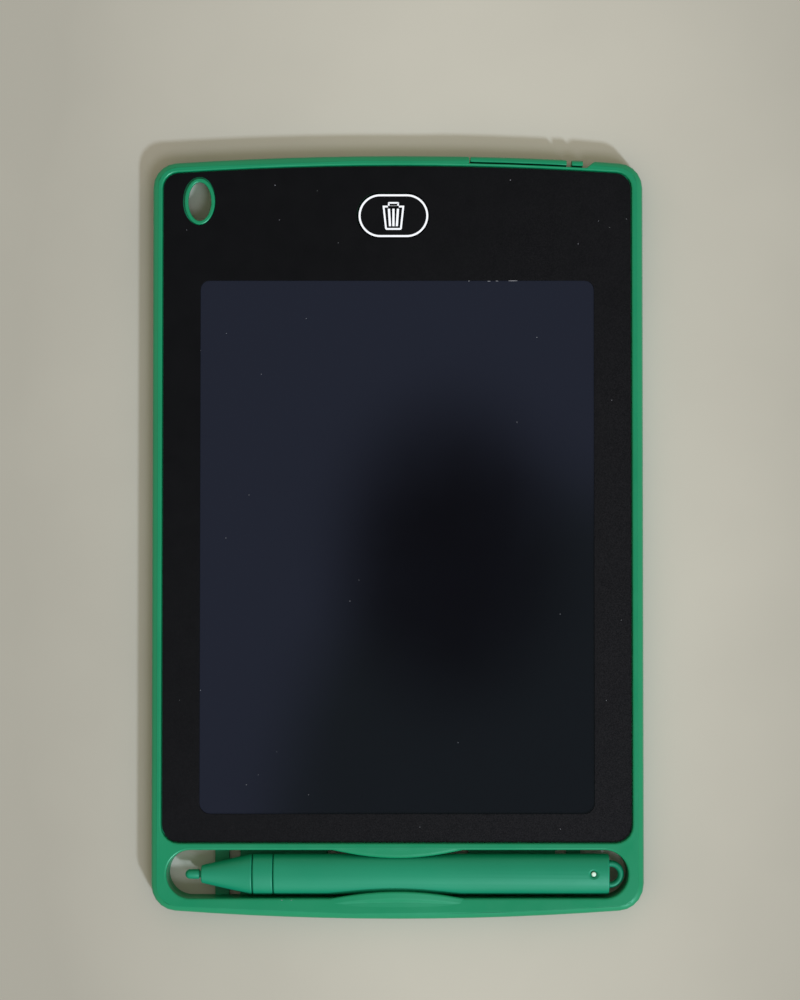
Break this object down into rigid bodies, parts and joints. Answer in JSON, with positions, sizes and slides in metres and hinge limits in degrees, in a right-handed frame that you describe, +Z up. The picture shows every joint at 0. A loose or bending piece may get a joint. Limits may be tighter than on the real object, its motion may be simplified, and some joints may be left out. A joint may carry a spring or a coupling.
{
  "type": "lcd writing tablet",
  "caption": "Pocket writing tablet: a thin moulded case with a dark pressure-sensitive screen, an erase key, a lanyard hole, a coin cell tray and a stylus held in a slot.",
  "frame": {"origin": "centre of the bounding box, at the height of the back face", "axes": "+Z up out of the screen, +Y towards the end with the erase key, +X to the right of someone reading the screen"},
  "size_m": [0.107, 0.1662, 0.0068],
  "materials": {
    "case_green": "satin moulded green plastic",
    "stylus_green": "smooth moulded green plastic",
    "panel_black": "fine matte black",
    "screen_film": "smooth dark film",
    "backing_black": "plain black board",
    "tape_white": "plain white tape",
    "ribbon_amber": "smooth amber film",
    "board_green": "lacquered green",
    "chip_black": "moulded black resin",
    "capacitor_tan": "fired ceramic",
    "plunger_white": "plain white plastic",
    "spring_metal": "plated spring strip",
    "cell_steel": "plain stainless steel"
  },
  "bodies": {
    "case": {"rear_cover": "case_green", "front_bezel": "case_green", "slot_lip_upper": "case_green", "slot_lip_lower": "case_green", "front_panel_overlay": "panel_black", "adhesive_frame": "tape_white", "lcd_front_film": "screen_film", "lcd_rear_film": "screen_film", "backing_board": "backing_black", "lcd_flex_tail": "ribbon_amber", "circuit_board": "board_green", "driver_chip": "chip_black", "board_capacitor_a": "capacitor_tan", "board_capacitor_b": "capacitor_tan", "board_resistor_a": "chip_black", "board_resistor_b": "chip_black", "tact_switch_body": "chip_black", "battery_contact_upper": "spring_metal", "battery_contact_lower": "spring_metal"},
    "key": {"erase_key": "panel_black"},
    "plunger": {"switch_plunger": "plunger_white"},
    "tray": {"battery_tray": "case_green", "coin_cell": "cell_steel"},
    "latch": {"tray_latch_arm": "case_green"},
    "stylus": {"stylus_barrel": "stylus_green", "stylus_collar": "stylus_green", "stylus_nose_cone": "stylus_green", "stylus_nib": "stylus_green", "stylus_end_loop": "stylus_green"}
  },
  "joints": [
    {"name": "erase_key_press", "type": "slide", "parent": "case", "child": "key", "axis": [0, 0, -1], "range_m": [0, 0.0003], "stiffness_N_per_m": 150, "springref_m": -0.002},
    {"name": "switch_plunger_press", "type": "slide", "parent": "case", "child": "plunger", "axis": [0, 0, -1], "range_m": [0, 0.0003]},
    {"name": "battery_tray_slide", "type": "slide", "parent": "case", "child": "tray", "axis": [0, 1, 0], "range_m": [0, 0.024], "deforming": ["tray_latch_arm"]},
    {"name": "tray_latch_press", "type": "hinge", "parent": "tray", "child": "latch", "pos_m": [0.0385, 0.06147, 0.0026], "axis": [0, 0, 1], "range_deg": [0, 2], "stiffness_Nm_per_rad": 0.01},
    {"name": "stylus_lift", "type": "slide", "parent": "case", "child": "stylus", "axis": [0, 0, 1], "range_m": [0, 0.02], "deforming": ["slot_lip_upper", "slot_lip_lower"]}
  ],
  "couplings": [
    {"joint": "switch_plunger_press", "follows": "erase_key_press", "ratio": 1}
  ]
}
